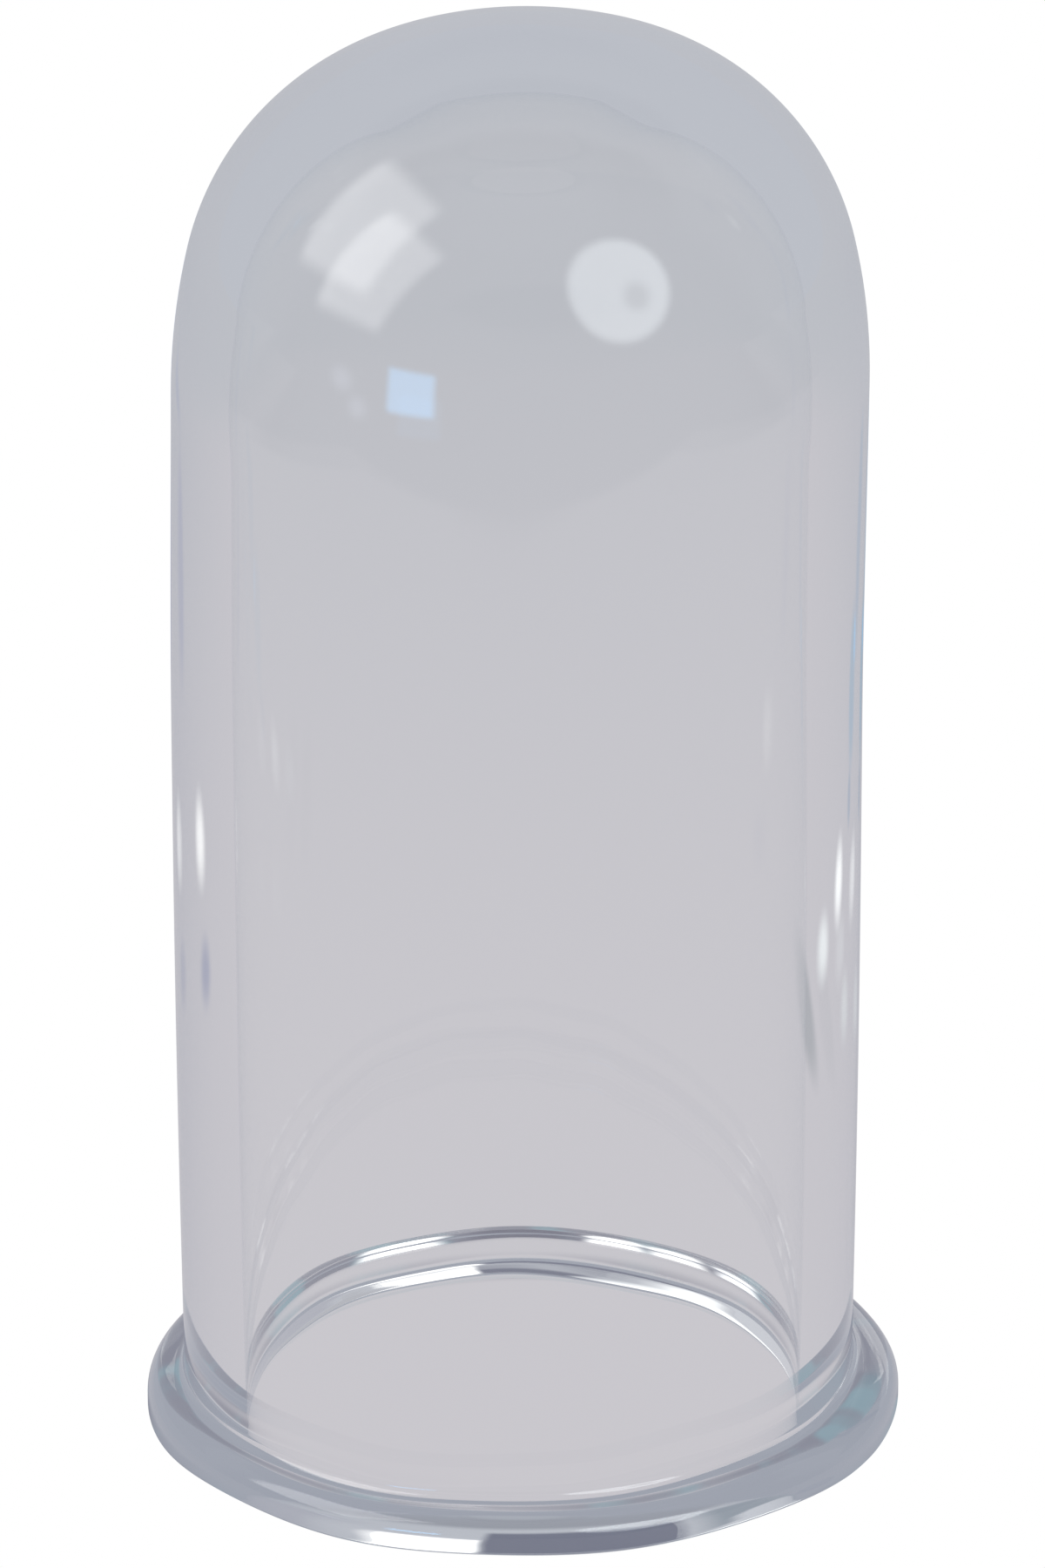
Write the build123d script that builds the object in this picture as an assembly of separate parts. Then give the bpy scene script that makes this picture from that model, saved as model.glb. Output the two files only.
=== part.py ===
from build123d import *
import math
import os

# A small clear glass dome (bell jar) that stands mouth down: one piece of glass tube, closed into a
# rounded crown at the top and upset into a solid outward flange at the mouth.
# Units are mm. +Z is up, z = 0 is the face the flange stands on, and the axis of the tube is Z.

# ---- driving dimensions -------------------------------------------------------------------------
TUBE_DIAMETER = 28.0  # outside of the straight tube
TUBE_WALL = 2.4
OVERALL_HEIGHT = 59.5  # standing face to the top of the crown

CROWN_RADIUS = 17.8  # outside radius of the flatter cap at the very top
SHOULDER_OFFSET = 2.34  # how far off the axis the centre of the shoulder's arc lies
SPRING_RADIUS = 25.3  # outside radius of the gentle arc where the tube starts to turn in
SPRING_ANGLE = 13.0  # degrees that this arc turns before the tighter shoulder takes over
CROWN_EXTRA = 0.9  # how much thicker than the tube wall the glass is where the crown was closed

FLANGE_OVERHANG = 1.55  # how far the flange stands out past the tube
FLANGE_THICKNESS = 1.6
FLANGE_TOP_ROUND = 1.0  # fire-polished upper edge of the flange
FLANGE_FOOT_ROUND = 0.2  # nearly sharp lower edge, pressed on a flat plate
FLANGE_FILLET = 0.4  # inside corner where the flange grows out of the tube
MOUTH_EDGE_ROUND = 0.6  # inside edge of the mouth

# ---- sizes that follow from them ----------------------------------------------------------------
tube_radius = TUBE_DIAMETER / 2
bore_radius = tube_radius - TUBE_WALL
flange_radius = tube_radius + FLANGE_OVERHANG

# Three arcs that touch make the dome: spring, shoulder and crown. The spring is tangent to the tube.
spring_offset = tube_radius - SPRING_RADIUS
spring_turn = math.radians(SPRING_ANGLE)
shoulder_radius = SPRING_RADIUS - (SHOULDER_OFFSET - spring_offset) / math.cos(spring_turn)
crown_height = OVERALL_HEIGHT - CROWN_RADIUS
centre_distance = CROWN_RADIUS - shoulder_radius
shoulder_height = crown_height + math.sqrt(centre_distance**2 - SHOULDER_OFFSET**2)
spring_height = shoulder_height - (SPRING_RADIUS - shoulder_radius) * math.sin(spring_turn)
crown_angle = math.degrees(math.atan2(shoulder_height - crown_height, SHOULDER_OFFSET))


def dome_edges(wall, drop):
    """The three outer arcs, taken in by a wall and let down by a drop."""
    spring_centre = (spring_offset, spring_height - drop)
    shoulder_centre = (SHOULDER_OFFSET, shoulder_height - drop)
    crown_centre = (0, crown_height - drop)
    shoulder_sweep = crown_angle - SPRING_ANGLE
    spring = CenterArc(spring_centre, SPRING_RADIUS - wall, 0, SPRING_ANGLE)
    shoulder = CenterArc(shoulder_centre, shoulder_radius - wall, SPRING_ANGLE, shoulder_sweep)
    crown = CenterArc(crown_centre, CROWN_RADIUS - wall, crown_angle, 90 - crown_angle)
    return [spring, shoulder, crown]


def flange_edges():
    """The outer line from the inside edge of the mouth, round the flange, to the tube."""
    mouth_corner = (bore_radius + MOUTH_EDGE_ROUND, MOUTH_EDGE_ROUND)
    foot_corner = (flange_radius - FLANGE_FOOT_ROUND, FLANGE_FOOT_ROUND)
    top_corner = (flange_radius - FLANGE_TOP_ROUND, FLANGE_THICKNESS - FLANGE_TOP_ROUND)
    fillet_centre = (tube_radius + FLANGE_FILLET, FLANGE_THICKNESS + FLANGE_FILLET)

    mouth_round = CenterArc(mouth_corner, MOUTH_EDGE_ROUND, 180, 90)
    foot_round = CenterArc(foot_corner, FLANGE_FOOT_ROUND, 270, 90)
    top_round = CenterArc(top_corner, FLANGE_TOP_ROUND, 0, 90)
    fillet = CenterArc(fillet_centre, FLANGE_FILLET, 180, 90)
    return [
        mouth_round,
        Line(mouth_round @ 1, foot_round @ 0),
        foot_round,
        Line(foot_round @ 1, top_round @ 0),
        top_round,
        Line(top_round @ 1, fillet @ 1),
        fillet,
    ]


# ---- the glass ----------------------------------------------------------------------------------
outer_dome = dome_edges(0, 0)
inner_dome = dome_edges(TUBE_WALL, CROWN_EXTRA)
flange = flange_edges()

with BuildPart() as dome:
    with BuildSketch(Plane.XZ):
        with BuildLine():
            add(flange)
            Line(flange[-1] @ 0, outer_dome[0] @ 0)
            add(outer_dome)
            Line(outer_dome[-1] @ 1, inner_dome[-1] @ 1)
            add(inner_dome)
            Line(inner_dome[0] @ 0, flange[0] @ 0)
        make_face()
    revolve(axis=Axis.Z)

glass_dome = dome.part
glass_dome.label = "glass_dome"

os.makedirs("parts", exist_ok=True)
export_step(glass_dome, "parts/glass_dome.step")
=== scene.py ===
"""A small lipped bell jar dome of clear glass on a pale studio sheet."""

import logging
import math
import random
from dataclasses import dataclass, field
from enum import Enum

import bpy
from mathutils import Matrix, Vector


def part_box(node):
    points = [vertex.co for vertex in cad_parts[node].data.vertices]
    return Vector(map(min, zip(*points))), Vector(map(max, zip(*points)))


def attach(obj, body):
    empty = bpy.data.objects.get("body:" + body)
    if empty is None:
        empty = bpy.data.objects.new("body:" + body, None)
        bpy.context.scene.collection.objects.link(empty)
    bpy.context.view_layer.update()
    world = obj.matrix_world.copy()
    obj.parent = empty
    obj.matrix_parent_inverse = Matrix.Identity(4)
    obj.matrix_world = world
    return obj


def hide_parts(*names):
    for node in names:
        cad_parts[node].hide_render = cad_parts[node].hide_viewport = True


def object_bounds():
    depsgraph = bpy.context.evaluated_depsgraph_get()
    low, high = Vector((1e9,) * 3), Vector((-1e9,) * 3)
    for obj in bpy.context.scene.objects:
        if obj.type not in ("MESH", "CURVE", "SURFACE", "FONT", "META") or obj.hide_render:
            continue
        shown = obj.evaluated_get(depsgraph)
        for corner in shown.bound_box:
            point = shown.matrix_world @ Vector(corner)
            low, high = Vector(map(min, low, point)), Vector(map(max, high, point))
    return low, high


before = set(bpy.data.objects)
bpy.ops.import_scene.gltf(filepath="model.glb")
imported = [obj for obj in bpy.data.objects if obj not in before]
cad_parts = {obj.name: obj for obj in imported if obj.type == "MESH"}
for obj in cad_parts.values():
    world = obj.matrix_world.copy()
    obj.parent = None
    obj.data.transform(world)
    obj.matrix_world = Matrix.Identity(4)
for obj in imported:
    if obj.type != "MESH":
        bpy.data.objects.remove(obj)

LOG = logging.getLogger("bell_jar")
MM = 0.001
CAD_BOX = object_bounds()
DOME_NODE = "glass_dome"

# Light mirrored more often than DEEP finds one even tone instead of the stage, LIP_GLOW where it
# meets the sheet, and light mirrored more often than TRAPPED is let out of the glass.
DEEP = 1
TRAPPED = 4
LIP_GLOW = (0.32, 0.345, 0.41)


# ---- small helpers -------------------------------------------------------------------------------
def smooth_step(low: float, high: float, value: float) -> float:
    """Ease from 0 at low to 1 at high.

    Args:
        low: Where the ease starts.
        high: Where the ease ends.
        value: The place to read it.

    Returns:
        A share from 0 to 1.
    """
    share = min(max((value - low) / (high - low), 0.0), 1.0)
    return share * share * (3.0 - 2.0 * share)


def direction(azimuth: float, elevation: float) -> Vector:
    """Unit vector towards a place round the dome.

    Args:
        azimuth: Degrees from the front, -Y, round towards +X.
        elevation: Degrees above the floor.

    Returns:
        The unit vector.
    """
    turn = math.radians(azimuth)
    rise = math.radians(elevation)
    return Vector((math.sin(turn) * math.cos(rise), -math.cos(turn) * math.cos(rise), math.sin(rise)))


# ---- the glass -----------------------------------------------------------------------------------
@dataclass(frozen=True)
class Wave:
    """One slow swell in hand-worked glass, running round and up the tube."""

    depth: float
    turns: int
    rise: float
    phase: float

    def at(self, angle: float, height: float) -> float:
        """Depth of the swell at an angle and a height, in metres."""
        return self.depth * math.sin(self.turns * angle + self.rise * height + self.phase)


@dataclass(frozen=True)
class HandWork:
    """The unevenness that the flame and the hand leave on one surface of the glass."""

    depth: float
    least_turns: int
    most_turns: int
    most_rise: float
    seed: int
    count: int = 9

    def waves(self) -> list[Wave]:
        """The swells that add up to this unevenness, the same on every run.

        Returns:
            The swells.
        """
        dice = random.Random(self.seed)
        share = self.depth / math.sqrt(self.count)
        return [
            Wave(
                depth=share * dice.uniform(0.5, 1.5),
                turns=dice.randint(self.least_turns, self.most_turns),
                rise=dice.uniform(-self.most_rise, self.most_rise),
                phase=dice.uniform(0.0, math.tau),
            )
            for _ in range(self.count)
        ]


@dataclass
class GlassDome:
    """The whole object: a glass tube closed into a crown, with a solid lip round its open mouth."""

    tube_radius: float = 14.0 * MM
    wall: float = 2.4 * MM
    crown_radius: float = 17.8 * MM
    shoulder_offset: float = 2.34 * MM
    spring_radius: float = 25.3 * MM
    spring_angle: float = 13.0
    crown_extra: float = 0.9 * MM
    flange_thickness: float = 1.6 * MM
    flange_top_round: float = 1.0 * MM
    flange_foot_round: float = 0.2 * MM
    flange_fillet: float = 0.5 * MM
    mouth_edge_round: float = 0.8 * MM
    lean: float = 0.85
    segments: int = 320
    height: float = field(init=False)
    flange_radius: float = field(init=False)

    def __post_init__(self) -> None:
        """Take the overall height and the flange from the frame."""
        low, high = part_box(DOME_NODE)
        self.height = high[2] - low[2]
        self.flange_radius = (high[0] - low[0]) / 2

    def _arc(self, centre: tuple, radius: float, start: float, end: float, steps: int) -> list:
        """Points along an arc of the section.

        Args:
            centre: Distance from the axis and height of the arc's centre.
            radius: The arc's radius.
            start: Start angle in degrees, 0 outwards and 90 up.
            end: End angle in degrees.
            steps: How many spans the arc is cut into.

        Returns:
            The points, as pairs of distance from the axis and height.
        """
        points = []
        for step in range(steps + 1):
            angle = math.radians(start + (end - start) * step / steps)
            points.append((centre[0] + radius * math.cos(angle), centre[1] + radius * math.sin(angle)))
        return points

    def _crown(self, wall: float, drop: float, steps: int) -> list:
        """The crown and shoulder from the axis down to the tube, taken in by a wall.

        Args:
            wall: How far inside the outer surface the line lies.
            drop: How far the line is let down, where the glass is thicker at the top.
            steps: Spans in the shoulder, the longest of the three arcs.

        Returns:
            The points from the axis down to the top of the straight tube.
        """
        spring_offset = self.tube_radius - self.spring_radius
        spring_turn = math.radians(self.spring_angle)
        reach = (self.shoulder_offset - spring_offset) / math.cos(spring_turn)
        shoulder_radius = self.spring_radius - reach
        crown_height = self.height - self.crown_radius - drop
        apart = self.crown_radius - shoulder_radius
        shoulder_height = crown_height + math.sqrt(apart**2 - self.shoulder_offset**2)
        spring_height = shoulder_height - reach * math.sin(spring_turn)
        touch = math.degrees(math.atan2(shoulder_height - crown_height, self.shoulder_offset))
        crown = self._arc((0.0, crown_height), self.crown_radius - wall, 90.0, touch, steps // 2)
        shoulder_centre = (self.shoulder_offset, shoulder_height)
        shoulder = self._arc(shoulder_centre, shoulder_radius - wall, touch, self.spring_angle, steps)
        spring_centre = (spring_offset, spring_height)
        spring = self._arc(spring_centre, self.spring_radius - wall, self.spring_angle, 0.0, steps // 4)
        return crown + shoulder[1:] + spring[1:]

    def _straight(self, start: tuple, end: tuple, steps: int) -> list:
        """Points between two ends of a straight stretch, without the ends.

        Args:
            start: The first end.
            end: The last end.
            steps: How many spans the stretch is cut into.

        Returns:
            The points, as pairs of distance from the axis and height.
        """
        return [
            (
                start[0] + (end[0] - start[0]) * step / steps,
                start[1] + (end[1] - start[1]) * step / steps,
            )
            for step in range(1, steps)
        ]

    def _lip(self) -> list:
        """The section of the flange, from the fillet on the tube round to the mouth's inside edge.

        Returns:
            The points, as pairs of distance from the axis and height.
        """
        top = self.flange_thickness
        bore_radius = self.tube_radius - self.wall
        fillet_centre = (self.tube_radius + self.flange_fillet, top + self.flange_fillet)
        top_centre = (self.flange_radius - self.flange_top_round, top - self.flange_top_round)
        foot_centre = (self.flange_radius - self.flange_foot_round, self.flange_foot_round)
        mouth_centre = (bore_radius + self.mouth_edge_round, self.mouth_edge_round)
        fillet = self._arc(fillet_centre, self.flange_fillet, 180.0, 270.0, 10)
        top_edge = self._arc(top_centre, self.flange_top_round, 90.0, 0.0, 14)
        foot_edge = self._arc(foot_centre, self.flange_foot_round, 0.0, -90.0, 10)
        mouth_edge = self._arc(mouth_centre, self.mouth_edge_round, 270.0, 180.0, 12)
        return (
            fillet
            + self._straight(fillet[-1], top_edge[0], 4)
            + top_edge
            + self._straight(top_edge[-1], foot_edge[0], 4)
            + foot_edge
            + self._straight(foot_edge[-1], mouth_edge[0], 16)
            + mouth_edge
        )

    def section(self) -> list:
        """The closed half section, from the top of the crown down the outside and up the bore.

        Returns:
            The points, as pairs of distance from the axis and height.
        """
        outside = self._crown(0.0, 0.0, 40)
        lip = self._lip()
        inside = list(reversed(self._crown(self.wall, self.crown_extra, 40)))
        return (
            outside
            + self._straight(outside[-1], lip[0], 44)
            + lip
            + self._straight(lip[-1], inside[0], 44)
            + inside
        )

    def _lean_at(self, height: float) -> float:
        """How far the hand-closed tube stands off to one side at a height, in metres."""
        return height * math.tan(math.radians(self.lean)) + 0.2 * MM * smooth_step(30 * MM, 50 * MM, height)

    def _worked(self, section: list) -> list:
        """Turn the section about the axis and add the unevenness of hand-worked glass.

        Args:
            section: The half section's points.

        Returns:
            The vertices, one point at each end and a ring for every point between.
        """
        outer_work = HandWork(0.016 * MM, 2, 5, 120.0, seed=11).waves()
        bore_work = HandWork(0.035 * MM, 1, 5, 70.0, seed=23).waves()
        rim_work = HandWork(0.09 * MM, 2, 6, 0.0, seed=37).waves()
        lift_work = HandWork(0.10 * MM, 3, 8, 0.0, seed=41).waves()
        lip_shift = 0.12 * MM
        pinch = 0.22 * MM
        pinch_height = 25.0 * MM
        back_lift = 0.2 * MM
        back_angle = math.radians(97.0)
        bulge = 0.4 * MM
        bulge_angle = math.radians(-58.0)
        half = len(section) // 2
        mouth_start = next(i for i in range(half, len(section)) if section[i][1] > self.flange_thickness)
        verts = [(self._lean_at(section[0][1]), 0.0, section[0][1])]
        for index in range(1, len(section) - 1):
            radius, height = section[index]
            inner = index > mouth_start - 8
            lip = smooth_step(self.tube_radius, self.flange_radius, radius) * (not inner)
            near_axis = smooth_step(0.0, 6.0 * MM, radius)
            near_mouth = 1.0 - smooth_step(0.0, 5.0 * MM, height)
            drawn_in = -pinch * max(1.0 - height / pinch_height, 0.0) ** 2 * (1.0 - lip)
            shift = lip_shift * lip + self._lean_at(height)
            for segment in range(self.segments):
                angle = math.tau * segment / self.segments
                work = bore_work if inner else outer_work
                out = drawn_in + (1.0 - lip) * near_axis * sum(w.at(angle, height) for w in work)
                out += lip * sum(w.at(angle, 0.0) for w in rim_work)
                out += lip * bulge * max(math.cos(angle - bulge_angle), 0.0) ** 3
                lift = max(sum(w.at(angle, 0.0) for w in lift_work) + 0.1 * MM, 0.0)
                lift = near_mouth * (lift + back_lift * max(math.cos(angle - back_angle), 0.0) ** 24)
                verts.append(
                    (
                        (radius + out) * math.cos(angle) + shift,
                        (radius + out) * math.sin(angle),
                        height + lift,
                    )
                )
        verts.append((self._lean_at(section[-1][1]), 0.0, section[-1][1]))
        return verts

    def _faces(self, rings: int) -> list:
        """The faces between the rings, closed by a fan at each end.

        Args:
            rings: How many rings lie between the two end points.

        Returns:
            The faces, as tuples of vertex numbers.
        """
        count = self.segments
        last = rings * count + 1
        faces = [(0, 1 + seg, 1 + (seg + 1) % count) for seg in range(count)]
        for ring in range(rings - 1):
            upper = 1 + ring * count
            lower = upper + count
            for seg in range(count):
                beside = (seg + 1) % count
                faces.append((upper + seg, lower + seg, lower + beside, upper + beside))
        base = 1 + (rings - 1) * count
        faces.extend((base + (seg + 1) % count, base + seg, last) for seg in range(count))
        return faces

    def build(self, finish: "ClearGlass") -> bpy.types.Object:
        """Make the glass and dress it.

        Args:
            finish: The glass it is made of.

        Returns:
            The finished piece.
        """
        section = self.section()
        mesh = bpy.data.meshes.new("glass_dome_blown")
        mesh.from_pydata(self._worked(section), [], self._faces(len(section) - 2))
        mesh.polygons.foreach_set("use_smooth", [True] * len(mesh.polygons))
        mesh.update()
        piece = bpy.data.objects.new("glass_dome_blown", mesh)
        bpy.context.collection.objects.link(piece)
        piece.data.materials.append(finish.material())
        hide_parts(DOME_NODE)
        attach(piece, "root")
        LOG.info("glass dome: %d faces", len(mesh.polygons))
        return piece


@dataclass(frozen=True)
class ClearGlass:
    """Clear fire-polished lampworker's glass, with the faint marks of drawing, flame and handling."""

    name: str = "clear_glass_blown"
    tint: tuple = (0.992, 0.996, 0.996, 1.0)
    ior: float = 1.474
    draw_lines: float = 0.02
    polish: float = 0.0
    smudge: float = 0.02

    def _draw_lines(self) -> bpy.types.NodeTree:
        """Faint lines along the tube, left from drawing it: heights for a bump.

        Returns:
            The group.
        """
        inputs = {"Place": "NodeSocketVector", "Spacing": "NodeSocketFloat"}
        tree = shader_group("Draw lines", inputs, "Height")
        place = tree.nodes["Group Input"]
        squeeze = tree.nodes.new("ShaderNodeVectorMath")
        squeeze.operation = "MULTIPLY"
        squeeze.inputs[1].default_value = (1.0, 1.0, 0.03)
        tree.links.new(place.outputs["Place"], squeeze.inputs[0])
        grain = tree.nodes.new("ShaderNodeTexNoise")
        grain.inputs["Detail"].default_value = 3.0
        tree.links.new(squeeze.outputs[0], grain.inputs["Vector"])
        tree.links.new(place.outputs["Spacing"], grain.inputs["Scale"])
        split = tree.nodes.new("ShaderNodeSeparateXYZ")
        tree.links.new(place.outputs["Place"], split.inputs[0])
        above_lip = ramp(tree, split.outputs["Z"], 3 * MM, 9 * MM)
        height = combined(tree, "MULTIPLY", grain.outputs["Fac"], above_lip)
        tree.links.new(height, tree.nodes["Group Output"].inputs["Height"])
        return tree

    def _smudges(self) -> bpy.types.NodeTree:
        """Breath and finger marks: a roughness that rises in a few soft patches.

        Returns:
            The group.
        """
        inputs = {"Place": "NodeSocketVector", "Clean": "NodeSocketFloat", "Marked": "NodeSocketFloat"}
        tree = shader_group("Smudges", inputs, "Roughness")
        place = tree.nodes["Group Input"]
        cloud = tree.nodes.new("ShaderNodeTexNoise")
        cloud.inputs["Scale"].default_value = 140.0
        cloud.inputs["Detail"].default_value = 4.0
        cloud.inputs["Roughness"].default_value = 0.62
        tree.links.new(place.outputs["Place"], cloud.inputs["Vector"])
        spread = tree.nodes.new("ShaderNodeMapRange")
        spread.interpolation_type = "SMOOTHSTEP"
        spread.inputs["From Min"].default_value = 0.52
        spread.inputs["From Max"].default_value = 0.72
        tree.links.new(cloud.outputs["Fac"], spread.inputs["Value"])
        tree.links.new(place.outputs["Clean"], spread.inputs["To Min"])
        tree.links.new(place.outputs["Marked"], spread.inputs["To Max"])
        tree.links.new(spread.outputs[0], tree.nodes["Group Output"].inputs["Roughness"])
        return tree

    def material(self) -> bpy.types.Material:
        """Build the glass.

        Returns:
            The material, which lets light through to what stands inside it.
        """
        material = bpy.data.materials.new(self.name)
        material.use_nodes = True
        tree = material.node_tree
        tree.nodes.clear()
        output = tree.nodes.new("ShaderNodeOutputMaterial")
        glass = tree.nodes.new("ShaderNodeBsdfPrincipled")
        glass.inputs["Base Color"].default_value = self.tint
        glass.inputs["IOR"].default_value = self.ior
        glass.inputs["Transmission Weight"].default_value = 1.0
        place = tree.nodes.new("ShaderNodeTexCoord")
        lines = use_group(tree, self._draw_lines(), {"Spacing": 900.0})
        tree.links.new(place.outputs["Object"], lines.inputs["Place"])
        bump = tree.nodes.new("ShaderNodeBump")
        bump.inputs["Strength"].default_value = self.draw_lines
        bump.inputs["Distance"].default_value = 0.01 * MM
        tree.links.new(lines.outputs["Height"], bump.inputs["Height"])
        tree.links.new(bump.outputs["Normal"], glass.inputs["Normal"])
        marks = use_group(tree, self._smudges(), {"Clean": self.polish, "Marked": self.smudge})
        tree.links.new(place.outputs["Object"], marks.inputs["Place"])
        tree.links.new(marks.outputs["Roughness"], glass.inputs["Roughness"])
        clear = tree.nodes.new("ShaderNodeBsdfTransparent")
        path = tree.nodes.new("ShaderNodeLightPath")
        mix = tree.nodes.new("ShaderNodeMixShader")
        trapped = mirrored_more_than(tree, TRAPPED)
        let_out = combined(tree, "MAXIMUM", path.outputs["Is Shadow Ray"], trapped)
        tree.links.new(let_out, mix.inputs[0])
        tree.links.new(glass.outputs[0], mix.inputs[1])
        tree.links.new(clear.outputs[0], mix.inputs[2])
        tree.links.new(mix.outputs[0], output.inputs["Surface"])
        return material


# ---- shader helpers ------------------------------------------------------------------------------
def shader_group(name: str, inputs: dict, output: str) -> bpy.types.NodeTree:
    """Start a shader node group with named inputs and one output.

    Args:
        name: The group's name.
        inputs: Socket type of each named input.
        output: Name of the output, a colour when it is "Colour" and a number otherwise.

    Returns:
        The group, with its input and output nodes in place.
    """
    tree = bpy.data.node_groups.new(name, "ShaderNodeTree")
    for label, kind in inputs.items():
        tree.interface.new_socket(label, in_out="INPUT", socket_type=kind)
    kind = "NodeSocketColor" if output == "Colour" else "NodeSocketFloat"
    tree.interface.new_socket(output, in_out="OUTPUT", socket_type=kind)
    tree.nodes.new("NodeGroupInput")
    tree.nodes.new("NodeGroupOutput")
    return tree


def use_group(tree: bpy.types.NodeTree, group: bpy.types.NodeTree, values: dict) -> bpy.types.Node:
    """Put a node group into a tree.

    Args:
        tree: The tree it goes into.
        group: The group.
        values: Value of each input that is not linked.

    Returns:
        The group's node.
    """
    node = tree.nodes.new("ShaderNodeGroup")
    node.node_tree = group
    for label, value in values.items():
        node.inputs[label].default_value = value
    return node


def spot_group() -> bpy.types.NodeTree:
    """The soft-edged oval group, made once: a mask that is 1 inside the oval and 0 outside.

    Returns:
        The group.
    """
    if "Soft oval" in bpy.data.node_groups:
        return bpy.data.node_groups["Soft oval"]
    inputs = {
        "Place": "NodeSocketVector",
        "Centre": "NodeSocketVector",
        "Size": "NodeSocketVector",
        "Softness": "NodeSocketFloat",
    }
    tree = shader_group("Soft oval", inputs, "Mask")
    source = tree.nodes["Group Input"]
    away = tree.nodes.new("ShaderNodeVectorMath")
    away.operation = "SUBTRACT"
    tree.links.new(source.outputs["Place"], away.inputs[0])
    tree.links.new(source.outputs["Centre"], away.inputs[1])
    scaled = tree.nodes.new("ShaderNodeVectorMath")
    scaled.operation = "DIVIDE"
    tree.links.new(away.outputs[0], scaled.inputs[0])
    tree.links.new(source.outputs["Size"], scaled.inputs[1])
    length = tree.nodes.new("ShaderNodeVectorMath")
    length.operation = "LENGTH"
    tree.links.new(scaled.outputs[0], length.inputs[0])
    inside = combined(tree, "SUBTRACT", 1.0, source.outputs["Softness"])
    fade = tree.nodes.new("ShaderNodeMapRange")
    fade.interpolation_type = "SMOOTHSTEP"
    fade.inputs["From Min"].default_value = 1.0
    fade.inputs["To Min"].default_value = 0.0
    fade.inputs["To Max"].default_value = 1.0
    tree.links.new(length.outputs["Value"], fade.inputs["Value"])
    tree.links.new(inside, fade.inputs["From Max"])
    tree.links.new(fade.outputs[0], tree.nodes["Group Output"].inputs["Mask"])
    return tree


def panel_group() -> bpy.types.NodeTree:
    """The soft-edged panel group, made once: a mask over a unit square that fades at its four sides.

    Returns:
        The group.
    """
    if "Soft panel" in bpy.data.node_groups:
        return bpy.data.node_groups["Soft panel"]
    tree = shader_group("Soft panel", {"Place": "NodeSocketVector", "Softness": "NodeSocketFloat"}, "Mask")
    source = tree.nodes["Group Input"]
    split = tree.nodes.new("ShaderNodeSeparateXYZ")
    tree.links.new(source.outputs["Place"], split.inputs[0])
    fades = []
    for axis in ("X", "Y"):
        off = combined(tree, "PINGPONG", split.outputs[axis], 0.5)
        fade = tree.nodes.new("ShaderNodeMapRange")
        fade.interpolation_type = "SMOOTHSTEP"
        tree.links.new(off, fade.inputs["Value"])
        tree.links.new(source.outputs["Softness"], fade.inputs["From Max"])
        fades.append(fade)
    both = combined(tree, "MULTIPLY", fades[0].outputs[0], fades[1].outputs[0])
    tree.links.new(both, tree.nodes["Group Output"].inputs["Mask"])
    return tree


def mixed(tree: bpy.types.NodeTree, share: bpy.types.NodeSocket, first: object, second: object) -> object:
    """Mix two colours.

    Args:
        tree: The tree to work in.
        share: The socket that says how much of the second colour shows.
        first: A colour, or the socket that carries one.
        second: A colour, or the socket that carries one.

    Returns:
        The socket that carries the mixed colour.
    """
    mix = tree.nodes.new("ShaderNodeMix")
    mix.data_type = "RGBA"
    tree.links.new(share, mix.inputs[0])
    for slot, colour in ((6, first), (7, second)):
        if isinstance(colour, bpy.types.NodeSocket):
            tree.links.new(colour, mix.inputs[slot])
        else:
            mix.inputs[slot].default_value = (*colour, 1.0)
    return mix.outputs[2]


def combined(tree: bpy.types.NodeTree, operation: str, first: object, second: object) -> object:
    """Join two numbers with one of the Math node's operations.

    Args:
        tree: The tree to work in.
        operation: Name of the operation.
        first: A number, or the socket that carries one.
        second: A number, or the socket that carries one.

    Returns:
        The socket that carries the result.
    """
    node = tree.nodes.new("ShaderNodeMath")
    node.operation = operation
    for slot, value in enumerate((first, second)):
        if isinstance(value, bpy.types.NodeSocket):
            tree.links.new(value, node.inputs[slot])
        else:
            node.inputs[slot].default_value = value
    return node.outputs[0]


def mirrored_more_than(tree: bpy.types.NodeTree, times: int) -> bpy.types.NodeSocket:
    """Whether a ray has been mirrored often, by the glass's surface or within its walls.

    Args:
        tree: The tree to work in.
        times: How many mirrorings are not yet often.

    Returns:
        The socket, 1 for a ray mirrored more often than that and 0 otherwise.
    """
    path = tree.nodes.new("ShaderNodeLightPath")
    return combined(tree, "GREATER_THAN", path.outputs["Glossy Depth"], times + 0.5)


def ramp(tree: bpy.types.NodeTree, value: bpy.types.NodeSocket, low: float, high: float) -> object:
    """A share that eases from 0 at low to 1 at high.

    Args:
        tree: The tree to work in.
        value: The socket that is read.
        low: Where the ease starts.
        high: Where the ease ends.

    Returns:
        The socket that carries the share.
    """
    ease = tree.nodes.new("ShaderNodeMapRange")
    ease.interpolation_type = "SMOOTHSTEP"
    if low < high:
        ease.inputs["From Min"].default_value = low
        ease.inputs["From Max"].default_value = high
    else:
        ease.inputs["From Min"].default_value = high
        ease.inputs["From Max"].default_value = low
        ease.inputs["To Min"].default_value = 1.0
        ease.inputs["To Max"].default_value = 0.0
    tree.links.new(value, ease.inputs["Value"])
    return ease.outputs[0]


# ---- the stage -----------------------------------------------------------------------------------
@dataclass(frozen=True)
class Spot:
    """A soft oval of tone, painted light or painted shadow on the sheet, as the glass mirrors it."""

    centre: tuple
    size: tuple
    colour: tuple
    softness: float = 0.6


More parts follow.
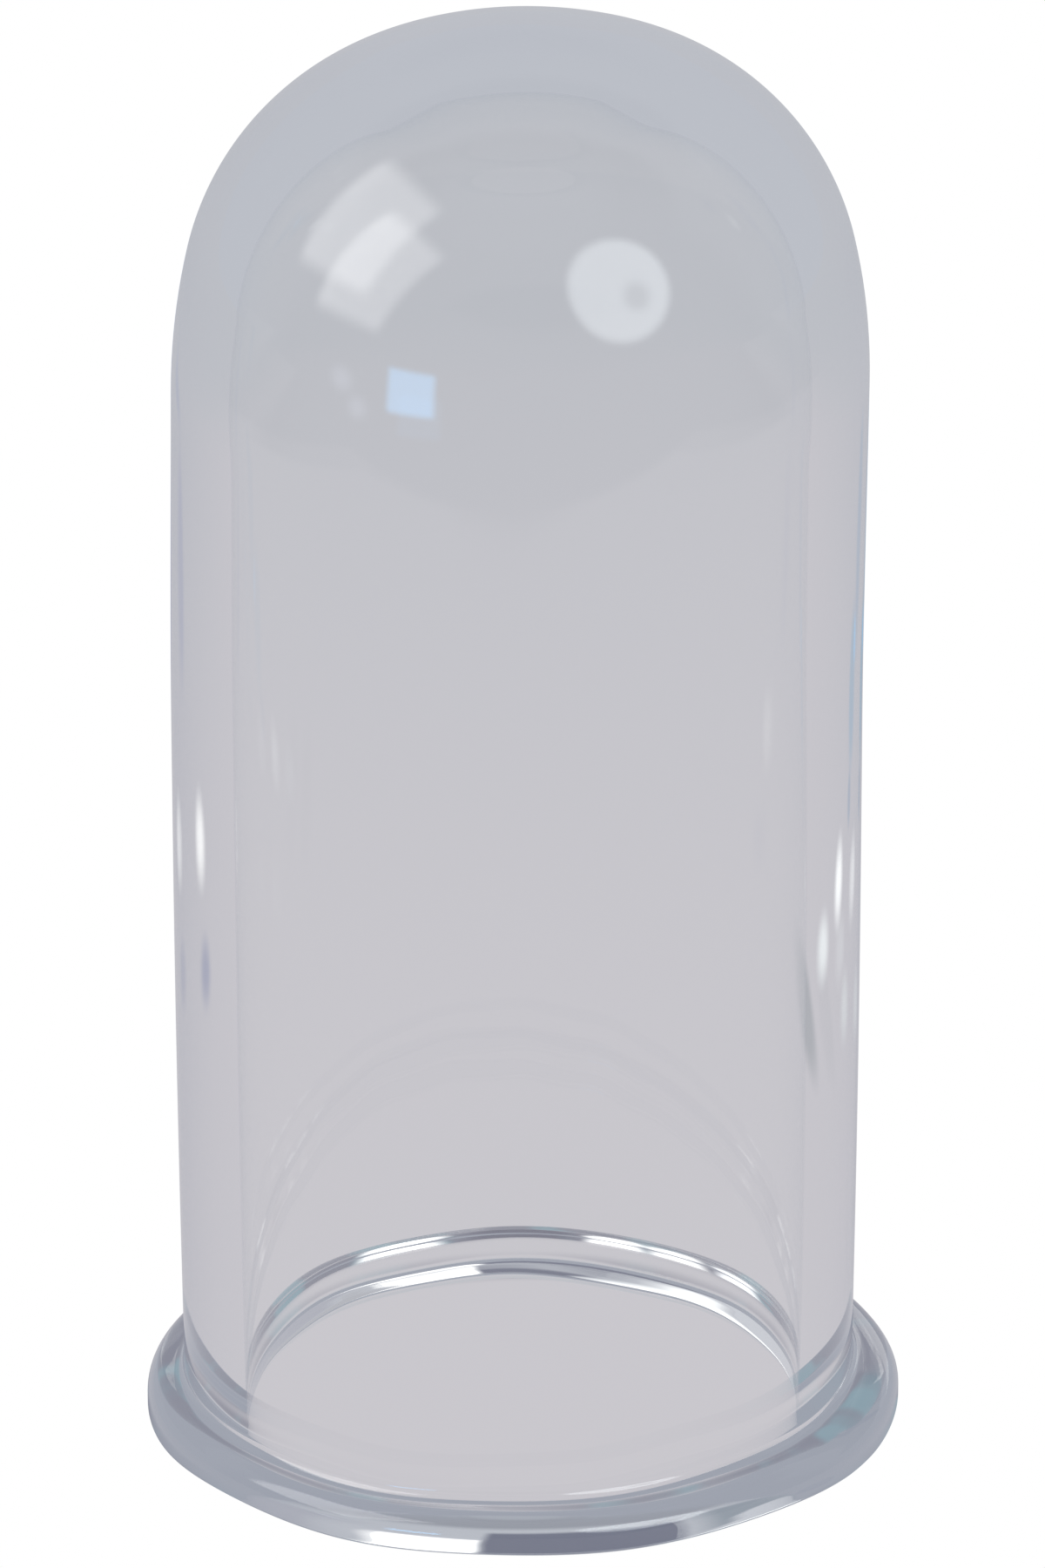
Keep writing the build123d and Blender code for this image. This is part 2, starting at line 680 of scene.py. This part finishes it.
@dataclass(frozen=True)
class Sheet:
    """The seamless sheet the dome stands on, white beside the glass and greyer through it."""

    half_width: float = 6.0
    gap: float = 0.01 * MM
    front_edge: tuple = (-138.0 * MM, -122.0 * MM)
    right_edge: tuple = (205.0 * MM, 180.0 * MM)
    left_edge: tuple = (-210.0 * MM, -185.0 * MM)
    back_edge: tuple = (30.0 * MM, 90.0 * MM)
    # Painted shade: seen through the glass, the sheet darkens and cools from near to far behind the dome,
    # over near_to_far.
    near_to_far: tuple = (20.0 * MM, 185.0 * MM)
    # Where the painted shadow under the lip fades in and out.
    shade_inside: tuple = (12.2 * MM, 13.6 * MM)
    shade_outside: tuple = (17.0 * MM, 15.4 * MM)
    seen: tuple = (1.0, 1.0, 1.0)
    # near and far are the two ends of that painted falloff of light.
    near: tuple = (0.592, 0.577, 0.613)
    far: tuple = (0.52, 0.532, 0.572)
    beyond: tuple = (0.30, 0.31, 0.35)
    # The painted shadow under the lip, and the teal that mottles it.
    lip_shade: tuple = (0.24, 0.245, 0.30)
    lip_teal: tuple = (0.25, 0.36, 0.42)
    spots: tuple = (
        # painted pools of light, where the glass would gather it, left and right behind it
        Spot((-40.0, 57.0), (7.0, 8.0), (1.15, 1.15, 1.15), 0.85),
        Spot((41.0, 48.0), (5.0, 8.0), (1.2, 1.22, 1.23), 0.85),
        Spot((47.0, 33.0), (5.0, 6.5), (0.9, 0.93, 0.95), 0.85),
        Spot((28.0, 38.0), (5.0, 6.0), (0.72, 0.74, 0.76), 0.85),
        # duller and bluer places
        Spot((-36.0, 41.0), (6.0, 6.0), (0.38, 0.39, 0.50), 0.85),
        Spot((-24.0, 98.0), (9.0, 22.0), (0.43, 0.44, 0.55)),
        Spot((-24.0, 140.0), (9.0, 28.0), (0.42, 0.45, 0.56)),
        Spot((26.0, 102.0), (8.0, 24.0), (0.38, 0.46, 0.57)),
        Spot((33.0, 78.0), (7.0, 14.0), (0.36, 0.48, 0.60)),
        Spot((30.0, 85.0), (3.0, 4.5), (0.34, 0.62, 0.92)),
        Spot((33.0, 63.0), (3.0, 5.0), (0.38, 0.44, 0.54)),
        Spot((49.0, 20.0), (13.0, 4.5), (0.42, 0.43, 0.46)),
        # a painted shadow patch and painted pools of gathered light, under the lip at the back
        Spot((0.4, 14.6), (3.4, 3.0), (0.17, 0.17, 0.22), 0.5),
        Spot((-5.4, 13.4), (2.9, 2.6), (1.7, 1.7, 1.7), 0.5),
        Spot((5.0, 13.8), (2.0, 2.4), (1.6, 1.6, 1.6), 0.5),
        Spot((8.0, 12.2), (2.4, 2.4), (1.5, 1.5, 1.5)),
        Spot((11.0, 9.4), (2.2, 2.4), (1.4, 1.42, 1.45)),
    )

    def _mirrored(self, tree: bpy.types.NodeTree, plain: object, split: object) -> object:
        """The sheet as the glass mirrors it, its spots including painted pools of light and a painted
        shadow.

        Args:
            tree: The material's tree.
            plain: Socket with the tone of the sheet seen straight through the glass.
            split: Node that gives the place's X, Y and Z.

        Returns:
            The socket that carries the colour.
        """
        place = tree.nodes.new("ShaderNodeNewGeometry").outputs["Position"]
        front = ramp(tree, split.outputs["Y"], *self.front_edge)
        right = ramp(tree, split.outputs["X"], *self.right_edge)
        left = ramp(tree, split.outputs["X"], *self.left_edge)
        behind = ramp(tree, split.outputs["Y"], *self.back_edge)
        inside = combined(tree, "MULTIPLY", combined(tree, "MULTIPLY", front, right), left)
        pale = combined(tree, "MAXIMUM", inside, behind)
        colour = mixed(tree, pale, self.beyond, plain)
        for spot in self.spots:
            values = {
                "Centre": (spot.centre[0] * MM, spot.centre[1] * MM, 0.0),
                "Size": (spot.size[0] * MM, spot.size[1] * MM, 1.0),
                "Softness": spot.softness,
            }
            oval = use_group(tree, spot_group(), values)
            tree.links.new(place, oval.inputs["Place"])
            colour = mixed(tree, oval.outputs["Mask"], colour, spot.colour)
        return colour

    def _painted_lip_shadow(self, tree: bpy.types.NodeTree, plain: object, split: object) -> object:
        """Paint a shadow, mottled with teal, into the ring of the sheet that the lip stands on.

        Args:
            tree: The material's tree.
            plain: Socket with the sheet's tone.
            split: Node that gives the place's X, Y and Z.

        Returns:
            The socket that carries the colour.
        """
        flat = tree.nodes.new("ShaderNodeCombineXYZ")
        tree.links.new(split.outputs["X"], flat.inputs["X"])
        tree.links.new(split.outputs["Y"], flat.inputs["Y"])
        out = tree.nodes.new("ShaderNodeVectorMath")
        out.operation = "LENGTH"
        tree.links.new(flat.outputs[0], out.inputs[0])
        inner = ramp(tree, out.outputs["Value"], *self.shade_inside)
        outer = ramp(tree, out.outputs["Value"], *self.shade_outside)
        ring = combined(tree, "MULTIPLY", inner, outer)
        patches = tree.nodes.new("ShaderNodeTexNoise")
        patches.inputs["Scale"].default_value = 190.0
        patches.inputs["Detail"].default_value = 2.0
        tree.links.new(flat.outputs[0], patches.inputs["Vector"])
        teal = ramp(tree, patches.outputs["Fac"], 0.5, 0.62)
        return mixed(tree, ring, plain, mixed(tree, teal, self.lip_shade, self.lip_teal))

    def build(self) -> bpy.types.Object:
        """Lay the sheet just under the glass.

        Returns:
            The sheet.
        """
        half = self.half_width
        low = CAD_BOX[0][2] - self.gap
        mesh = bpy.data.meshes.new("sheet")
        corners = [(-half, -half, low), (half, -half, low), (half, half, low), (-half, half, low)]
        mesh.from_pydata(corners, [], [(0, 1, 2, 3)])
        sheet = bpy.data.objects.new("sheet", mesh)
        bpy.context.collection.objects.link(sheet)
        material = bpy.data.materials.new("pale_sheet")
        material.use_nodes = True
        tree = material.node_tree
        tree.nodes.clear()
        output = tree.nodes.new("ShaderNodeOutputMaterial")
        glow = tree.nodes.new("ShaderNodeEmission")
        split = tree.nodes.new("ShaderNodeSeparateXYZ")
        tree.links.new(tree.nodes.new("ShaderNodeNewGeometry").outputs["Position"], split.inputs[0])
        # Painted shade: the sheet seen through the glass darkens from near to far behind the dome.
        distance = ramp(tree, split.outputs["Y"], *self.near_to_far)
        # The ring under the lip gets a painted shadow, mottled with teal.
        plain = self._painted_lip_shadow(tree, mixed(tree, distance, self.near, self.far), split)
        mirrored = self._mirrored(tree, plain, split)
        mirrored = mixed(tree, mirrored_more_than(tree, DEEP), mirrored, LIP_GLOW)
        through = mixed(tree, mirrored_more_than(tree, 0), plain, mirrored)
        path = tree.nodes.new("ShaderNodeLightPath")
        shown = mixed(tree, path.outputs["Is Camera Ray"], through, self.seen)
        tree.links.new(shown, glow.inputs["Color"])
        tree.links.new(glow.outputs[0], output.inputs["Surface"])
        sheet.data.materials.append(material)
        return sheet


class CardShape(Enum):
    """The outlines that a light or dark card round the stage comes in."""

    PANEL = "panel"
    DISC = "disc"


@dataclass(frozen=True)
class Card:
    """A soft-edged lit or dark card, seen only where the glass mirrors it."""

    name: str
    corners: tuple
    colour: tuple
    shape: CardShape = CardShape.PANEL
    softness: float = 0.08
    hub: tuple = ()
    inner_share: float = 1.0
    from_below: bool = False

    def _mask(self, tree: bpy.types.NodeTree, place: bpy.types.NodeSocket) -> object:
        """How much of the card shows at a place on it.

        Args:
            tree: The material's tree.
            place: Socket with the place on the card.

        Returns:
            The socket that carries the share.
        """
        if self.shape is CardShape.PANEL:
            mask = use_group(tree, panel_group(), {"Softness": self.softness})
        else:
            values = {"Centre": (0.5, 0.5, 0.0), "Size": (0.5, 0.5, 1.0), "Softness": self.softness}
            mask = use_group(tree, spot_group(), values)
        tree.links.new(place, mask.inputs["Place"])
        return mask.outputs["Mask"]

    def _shown(self, tree: bpy.types.NodeTree, place: bpy.types.NodeSocket) -> object:
        """How much of the card a ray meets: nothing, unless the glass has mirrored the ray.

        Args:
            tree: The material's tree.
            place: Socket with the place on the card.

        Returns:
            The socket that carries the share.
        """
        last = mirrored_more_than(tree, DEEP if self.from_below else 1)
        mirrored = combined(tree, "SUBTRACT", mirrored_more_than(tree, 0), last)
        shown = combined(tree, "MULTIPLY", self._mask(tree, place), mirrored)
        if self.from_below:
            facing = tree.nodes.new("ShaderNodeNewGeometry").outputs["Backfacing"]
            shown = combined(tree, "MULTIPLY", shown, facing)
        if self.inner_share < 1.0:
            inner = tree.nodes.new("ShaderNodeMapRange")
            inner.inputs["To Min"].default_value = 1.0
            inner.inputs["To Max"].default_value = self.inner_share
            path = tree.nodes.new("ShaderNodeLightPath")
            tree.links.new(path.outputs["Transmission Depth"], inner.inputs["Value"])
            shown = combined(tree, "MULTIPLY", shown, inner.outputs[0])
        return shown

    def _material(self) -> bpy.types.Material:
        """A glow that is clear to every ray that has not been mirrored.

        Returns:
            The material.
        """
        material = bpy.data.materials.new(self.name)
        material.use_nodes = True
        material.cycles.emission_sampling = "NONE"
        tree = material.node_tree
        tree.nodes.clear()
        output = tree.nodes.new("ShaderNodeOutputMaterial")
        place = tree.nodes.new("ShaderNodeUVMap").outputs["UV"]
        glow = tree.nodes.new("ShaderNodeBsdfPrincipled")
        glow.inputs["Base Color"].default_value = (0.0, 0.0, 0.0, 1.0)
        glow.inputs["Specular IOR Level"].default_value = 0.0
        glow.inputs["Emission Color"].default_value = (*self.colour, 1.0)
        glow.inputs["Emission Strength"].default_value = 1.0
        if self.hub:
            x, y, size, tone = self.hub
            values = {"Centre": (x, y, 0.0), "Size": (size, size, 1.0), "Softness": 0.7}
            hub = use_group(tree, spot_group(), values)
            tree.links.new(place, hub.inputs["Place"])
            dulled = tuple(tone * part for part in self.colour)
            colour = mixed(tree, hub.outputs["Mask"], self.colour, dulled)
            tree.links.new(colour, glow.inputs["Emission Color"])
        tree.links.new(self._shown(tree, place), glow.inputs["Alpha"])
        tree.links.new(glow.outputs[0], output.inputs["Surface"])
        return material

    def build(self) -> bpy.types.Object:
        """Hang the card.

        Returns:
            The card.
        """
        mesh = bpy.data.meshes.new(self.name)
        mesh.from_pydata([tuple(corner) for corner in self.corners], [], [(0, 1, 2, 3)])
        layer = mesh.uv_layers.new(name="UVMap")
        for loop, place in zip(layer.data, ((0.0, 1.0), (1.0, 1.0), (1.0, 0.0), (0.0, 0.0))):
            loop.uv = place
        card = bpy.data.objects.new(self.name, mesh)
        bpy.context.collection.objects.link(card)
        card.visible_camera = False
        card.visible_diffuse = False
        card.visible_shadow = False
        card.data.materials.append(self._material())
        LOG.info("card: %s", self.name)
        return card


def lamp_corners(middle: Vector, place: tuple, half_angles: tuple, far: float) -> tuple:
    """Corners of an upright card that faces the dome.

    Args:
        middle: What it faces.
        place: Azimuth from the front round towards +X and elevation, in degrees.
        half_angles: Half of the angles that it spans across and up, in degrees.
        far: How far away it hangs.

    Returns:
        The four corners.
    """
    towards = direction(*place)
    across = Vector((0.0, 0.0, 1.0)).cross(towards).normalized()
    up = towards.cross(across)
    wide, tall = (far * math.tan(math.radians(half_angle)) for half_angle in half_angles)
    signs = ((-1, 1), (1, 1), (1, -1), (-1, -1))
    return tuple(middle + towards * far + across * wide * i + up * tall * j for i, j in signs)


def studio_cards(crown: Vector) -> list[Card]:
    """The cards round the stage.

    Args:
        crown: The middle of the rounded crown, which the lamps are placed from.

    Returns:
        The lights in front, and the lit and dull strips behind the dome.
    """
    far = 0.6
    strip_height = 34.0 * MM
    box = ((-119.0, 57.2), (-44.6, 62.1), (-56.5, 19.6), (-93.4, 18.2))
    window = ((-45.6, 3.5), (-26.6, 3.5), (-26.6, -5.5), (-45.6, -5.5))
    marks = ((-67.0, 1.5), (-54.0, 1.5), (-54.0, -4.5), (-67.0, -4.5))

    def around(places: tuple, away: float) -> tuple:
        """Corners that lie towards places round the crown, at one distance from it."""
        return tuple(crown + direction(*place) * away for place in places)

    def overhead(left: float, right: float, near: float, away: float) -> tuple:
        """Corners of a level card behind the dome, from sizes in millimetres."""
        spans = ((left, away), (left, near), (right, near), (right, away))
        return tuple(Vector((x * MM, y * MM, strip_height)) for x, y in spans)

    def strip(name: str, corners: tuple, colour: tuple) -> Card:
        """A level card behind the dome, seen only from below, by the lip."""
        return Card(name, corners, colour, softness=0.1, from_below=True)

    return [
        Card("softbox", around(box, far), (3.5, 3.5, 3.5), softness=0.17),
        Card(
            "ring_lamp",
            lamp_corners(crown, (36.5, 28.8), (18.9, 22.5), far),
            (4.7, 5.0, 5.1),
            CardShape.DISC,
            softness=0.25,
            hub=(0.62, 0.42, 0.17, 0.5),
            inner_share=0.0,
        ),
        Card(
            "window",
            around(window, far / 2),
            (1.6, 4.2, 7.2),
            softness=0.18,
            inner_share=0.12,
        ),
        Card(
            "far_light",
            around(marks, far / 2),
            (1.5, 1.6, 1.9),
            CardShape.DISC,
            softness=0.9,
        ),
        strip("left_strip", overhead(-14.0, -2.0, 44.0, 88.0), (1.35, 1.35, 1.35)),
        strip("gap", overhead(-3.0, 16.0, 24.0, 88.0), (0.16, 0.17, 0.23)),
        strip("left_dull", overhead(-90.0, -13.0, 24.0, 88.0), (0.42, 0.43, 0.49)),
        strip("right_strip", overhead(16.0, 90.0, 56.0, 88.0), (0.62, 0.64, 0.69)),
        strip("right_dull", overhead(14.0, 100.0, 22.0, 60.0), (0.28, 0.32, 0.37)),
        strip("left_strip_far", overhead(-17.0, -3.5, 80.0, 220.0), (1.35, 1.35, 1.35)),
        strip("gap_far", overhead(-5.0, 15.0, 80.0, 300.0), (0.16, 0.17, 0.23)),
        strip("left_dull_far", overhead(-90.0, -15.0, 80.0, 220.0), (0.45, 0.46, 0.50)),
        strip("right_strip_far", overhead(13.0, 90.0, 80.0, 220.0), (1.35, 1.37, 1.38)),
    ]


@dataclass(frozen=True)
class Room:
    """What surrounds the stage: white where it is seen, a dim studio where the glass mirrors it."""

    seen: tuple = (1.0, 1.0, 1.0)
    through: tuple = (0.53, 0.541, 0.58)
    backdrop: tuple = (0.515, 0.535, 0.585)
    wall: tuple = (0.31, 0.325, 0.37)
    ceiling: tuple = (0.42, 0.44, 0.49)
    glow: tuple = (0.345, 0.367, 0.427)
    back_edge: float = 0.25
    backdrop_top: float = 44.0
    ceiling_foot: float = 62.0

    def _surroundings(self, tree: bpy.types.NodeTree) -> bpy.types.NodeSocket:
        """Colour of the dim studio, by direction.

        Args:
            tree: The world's node tree.

        Returns:
            The socket that carries the colour.
        """
        place = tree.nodes.new("ShaderNodeTexCoord")
        split = tree.nodes.new("ShaderNodeSeparateXYZ")
        tree.links.new(place.outputs["Generated"], split.inputs[0])
        rise = split.outputs["Z"]
        foot = math.sin(math.radians(self.ceiling_foot))
        above = ramp(tree, rise, foot, math.sin(math.radians(self.ceiling_foot + 14.0)))
        upper = mixed(tree, above, self.wall, self.ceiling)
        below = ramp(
            tree,
            rise,
            math.sin(math.radians(self.backdrop_top + 8.0)),
            math.sin(math.radians(self.backdrop_top)),
        )
        back = ramp(tree, split.outputs["Y"], self.back_edge - 0.2, self.back_edge + 0.1)
        return mixed(tree, combined(tree, "MULTIPLY", below, back), upper, self.backdrop)

    def build(self) -> bpy.types.World:
        """Make the world.

        Returns:
            The world.
        """
        world = bpy.data.worlds.new("studio")
        bpy.context.scene.world = world
        world.use_nodes = True
        tree = world.node_tree
        tree.nodes.clear()
        output = tree.nodes.new("ShaderNodeOutputWorld")
        back = tree.nodes.new("ShaderNodeBackground")
        path = tree.nodes.new("ShaderNodeLightPath")
        studio = mixed(tree, mirrored_more_than(tree, DEEP), self._surroundings(tree), self.glow)
        behind = mixed(tree, mirrored_more_than(tree, 0), self.through, studio)
        shown = mixed(tree, path.outputs["Is Camera Ray"], behind, self.seen)
        tree.links.new(shown, back.inputs["Color"])
        tree.links.new(back.outputs[0], output.inputs["Surface"])
        return world


@dataclass(frozen=True)
class StudioCamera:
    """A long lens, a little above the dome."""

    elevation: float = 21.6
    distance: float = 463.0 * MM
    focal_length: float = 262.3
    drop: float = 2.29 * MM
    side: float = 0.62 * MM
    roll: float = -1.03

    def build(self, middle: Vector) -> bpy.types.Object:
        """Place the camera and make it the scene's.

        Args:
            middle: The middle of the dome.

        Returns:
            The camera.
        """
        data = bpy.data.cameras.new("studio_camera")
        data.lens = self.focal_length
        data.sensor_width = 36.0
        data.clip_start = 0.01
        data.clip_end = 50.0
        camera = bpy.data.objects.new("studio_camera", data)
        bpy.context.collection.objects.link(camera)
        place = middle + direction(0.0, self.elevation) * self.distance
        rise = math.radians(self.elevation)
        aim = middle + Vector((self.side, -self.drop * math.sin(rise), -self.drop * math.cos(rise)))
        turn = (place - aim).to_track_quat("Z", "Y").to_matrix().to_4x4()
        tilt = Matrix.Rotation(math.radians(self.roll), 4, "Z")
        camera.matrix_world = Matrix.Translation(place) @ turn @ tilt
        bpy.context.scene.camera = camera
        return camera


def main() -> None:
    """Build the dome, the sheet, the room, the cards and the camera, in that order."""
    logging.basicConfig(level=logging.INFO, format="%(message)s")
    GlassDome().build(ClearGlass())
    low, high = (Vector(corner) for corner in CAD_BOX)
    middle = (low + high) / 2
    crown = Vector((middle.x, middle.y, high.z - 10 * MM))
    Sheet().build()
    Room().build()
    for card in studio_cards(crown):
        card.build()
    StudioCamera().build(middle)
    scene = bpy.context.scene
    scene.view_settings.view_transform = "Standard"
    bounces = 48
    scene.cycles.max_bounces = bounces
    scene.cycles.transmission_bounces = bounces
    scene.cycles.glossy_bounces = bounces
    scene.cycles.transparent_max_bounces = 64
    scene.cycles.use_denoising = True


if __name__ == "__main__":
    main()
